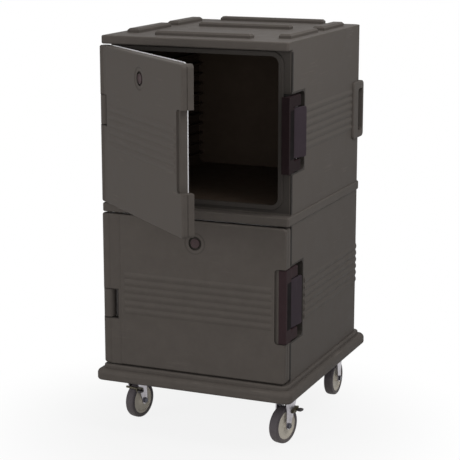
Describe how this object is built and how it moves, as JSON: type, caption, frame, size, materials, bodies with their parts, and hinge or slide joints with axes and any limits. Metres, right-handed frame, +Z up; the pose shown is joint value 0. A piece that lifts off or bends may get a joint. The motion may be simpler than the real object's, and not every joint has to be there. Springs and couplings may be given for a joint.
{
  "type": "insulated food pan cart",
  "caption": "Tall insulated cart with stacked front-opening compartments, hinged doors, draw latches, pan rails, rear push handles and a bumper base on casters.",
  "frame": {"origin": "on the floor, below the middle of the bounding box of the cart as it stands, with the upper door open", "axes": "+Z up; front with the doors towards -Y; +X to the latch side, the right as seen from the front"},
  "size_m": [0.714, 1.181, 1.372],
  "materials": {
    "cabinet_plastic": "moulded satin",
    "liner_plastic": "moulded satin",
    "insulation_foam": "matt foam",
    "latch_plastic": "smooth",
    "vent_plastic": "smooth",
    "gasket_rubber": "soft matt",
    "stainless_steel": "drawn",
    "zinc_steel": "zinc plated",
    "brake_steel": "yellow passivated",
    "wheel_centre": "moulded",
    "tyre_rubber": "matt rubber"
  },
  "bodies": {
    "cart": {"bumper_base": "cabinet_plastic", "base_foam": "insulation_foam", "lower_shell": "cabinet_plastic", "lower_liner": "liner_plastic", "lower_foam": "insulation_foam", "lower_rails": "liner_plastic", "lower_latch_tray": "cabinet_plastic", "lower_hinge_knuckle": "cabinet_plastic", "lower_hinge_pin": "stainless_steel", "lower_latch_base": "latch_plastic", "lower_latch_pin": "stainless_steel", "upper_shell": "cabinet_plastic", "upper_liner": "liner_plastic", "upper_foam": "insulation_foam", "upper_rails": "liner_plastic", "upper_latch_tray": "cabinet_plastic", "upper_hinge_knuckle": "cabinet_plastic", "upper_hinge_pin": "stainless_steel", "upper_latch_base": "latch_plastic", "upper_latch_pin": "stainless_steel", "front_left_caster_plate": "zinc_steel", "front_right_caster_plate": "zinc_steel", "rear_left_fork": "zinc_steel", "rear_left_axle": "zinc_steel", "rear_right_fork": "zinc_steel", "rear_right_axle": "zinc_steel", "left_handle": "cabinet_plastic", "right_handle": "cabinet_plastic", "latch_screws": "stainless_steel", "caster_bolts": "zinc_steel"},
    "lower_door": {"lower_door_shell": "cabinet_plastic", "lower_door_panel": "liner_plastic", "lower_door_foam": "insulation_foam", "lower_gasket": "gasket_rubber"},
    "lower_vent": {"lower_vent_cap": "vent_plastic"},
    "lower_lever": {"lower_latch_lever": "latch_plastic", "lower_link_pin": "stainless_steel"},
    "lower_link": {"lower_latch_link": "latch_plastic"},
    "upper_door": {"upper_door_shell": "cabinet_plastic", "upper_door_panel": "liner_plastic", "upper_door_foam": "insulation_foam", "upper_gasket": "gasket_rubber"},
    "upper_vent": {"upper_vent_cap": "vent_plastic"},
    "upper_lever": {"upper_latch_lever": "latch_plastic", "upper_link_pin": "stainless_steel"},
    "upper_link": {"upper_latch_link": "latch_plastic"},
    "front_left_swivel": {"front_left_fork": "zinc_steel", "front_left_axle": "zinc_steel"},
    "front_left_wheel": {"front_left_hub": "wheel_centre", "front_left_tyre": "tyre_rubber"},
    "front_left_brake": {"front_left_brake": "brake_steel"},
    "front_right_swivel": {"front_right_fork": "zinc_steel", "front_right_axle": "zinc_steel"},
    "front_right_wheel": {"front_right_hub": "wheel_centre", "front_right_tyre": "tyre_rubber"},
    "front_right_brake": {"front_right_brake": "brake_steel"},
    "rear_left_wheel": {"rear_left_hub": "wheel_centre", "rear_left_tyre": "tyre_rubber"},
    "rear_right_wheel": {"rear_right_hub": "wheel_centre", "rear_right_tyre": "tyre_rubber"}
  },
  "joints": [
    {"name": "lower_door_hinge", "type": "hinge", "parent": "cart", "child": "lower_door", "pos_m": [-0.318, -0.15345, 0.502], "axis": [0, 0, -1], "range_deg": [0, 220]},
    {"name": "lower_vent_pull", "type": "slide", "parent": "lower_door", "child": "lower_vent", "axis": [0, -1, 0], "range_m": [0, 0.006]},
    {"name": "lower_latch_lever", "type": "hinge", "parent": "cart", "child": "lower_lever", "pos_m": [0.314, -0.10945, 0.502], "axis": [0, 0, -1], "range_deg": [-6, 84]},
    {"name": "lower_latch_link", "type": "hinge", "parent": "lower_lever", "child": "lower_link", "pos_m": [0.31755, -0.07564, 0.502], "axis": [0, 0, 1], "range_deg": [-6, 84]},
    {"name": "upper_door_hinge", "type": "hinge", "parent": "cart", "child": "upper_door", "pos_m": [-0.318, -0.15345, 1.064], "axis": [0, 0, -1], "range_deg": [-41, 179]},
    {"name": "upper_vent_pull", "type": "slide", "parent": "upper_door", "child": "upper_vent", "axis": [-0.6561, -0.7547, 0], "range_m": [0, 0.006]},
    {"name": "upper_latch_lever", "type": "hinge", "parent": "cart", "child": "upper_lever", "pos_m": [0.314, -0.10945, 1.064], "axis": [0, 0, -1], "range_deg": [-16, 74]},
    {"name": "upper_latch_link", "type": "hinge", "parent": "upper_lever", "child": "upper_link", "pos_m": [0.32337, -0.07677, 1.064], "axis": [0, 0, 1], "range_deg": [-16, 74]},
    {"name": "front_left_swivel", "type": "hinge", "parent": "cart", "child": "front_left_swivel", "pos_m": [-0.287, -0.03545, 0.16], "axis": [0, 0, 1], "continuous": true},
    {"name": "front_left_roll", "type": "hinge", "parent": "front_left_swivel", "child": "front_left_wheel", "pos_m": [-0.28204, -0.00993, 0.0635], "axis": [0.9816, -0.1908, 0], "continuous": true},
    {"name": "front_left_brake_pedal", "type": "hinge", "parent": "front_left_swivel", "child": "front_left_brake", "pos_m": [-0.2615, -0.03531, 0.109], "axis": [0.9816, -0.1908, 0], "range_deg": [0, 9]},
    {"name": "front_right_swivel", "type": "hinge", "parent": "cart", "child": "front_right_swivel", "pos_m": [0.287, -0.03545, 0.16], "axis": [0, 0, 1], "continuous": true},
    {"name": "front_right_roll", "type": "hinge", "parent": "front_right_swivel", "child": "front_right_wheel", "pos_m": [0.28071, -0.06068, 0.0635], "axis": [-0.9703, 0.2419, 0], "continuous": true},
    {"name": "front_right_brake_pedal", "type": "hinge", "parent": "front_right_swivel", "child": "front_right_brake", "pos_m": [0.31005, -0.04635, 0.109], "axis": [-0.9703, 0.2419, 0], "range_deg": [0, 9]},
    {"name": "rear_left_roll", "type": "hinge", "parent": "cart", "child": "rear_left_wheel", "pos_m": [-0.268, 0.49055, 0.0635], "axis": [1, 0, 0], "continuous": true},
    {"name": "rear_right_roll", "type": "hinge", "parent": "cart", "child": "rear_right_wheel", "pos_m": [0.268, 0.49055, 0.0635], "axis": [1, 0, 0], "continuous": true}
  ],
  "couplings": [
    {"joint": "lower_latch_link", "follows": "lower_latch_lever", "ratio": 1},
    {"joint": "upper_latch_link", "follows": "upper_latch_lever", "ratio": 1}
  ]
}
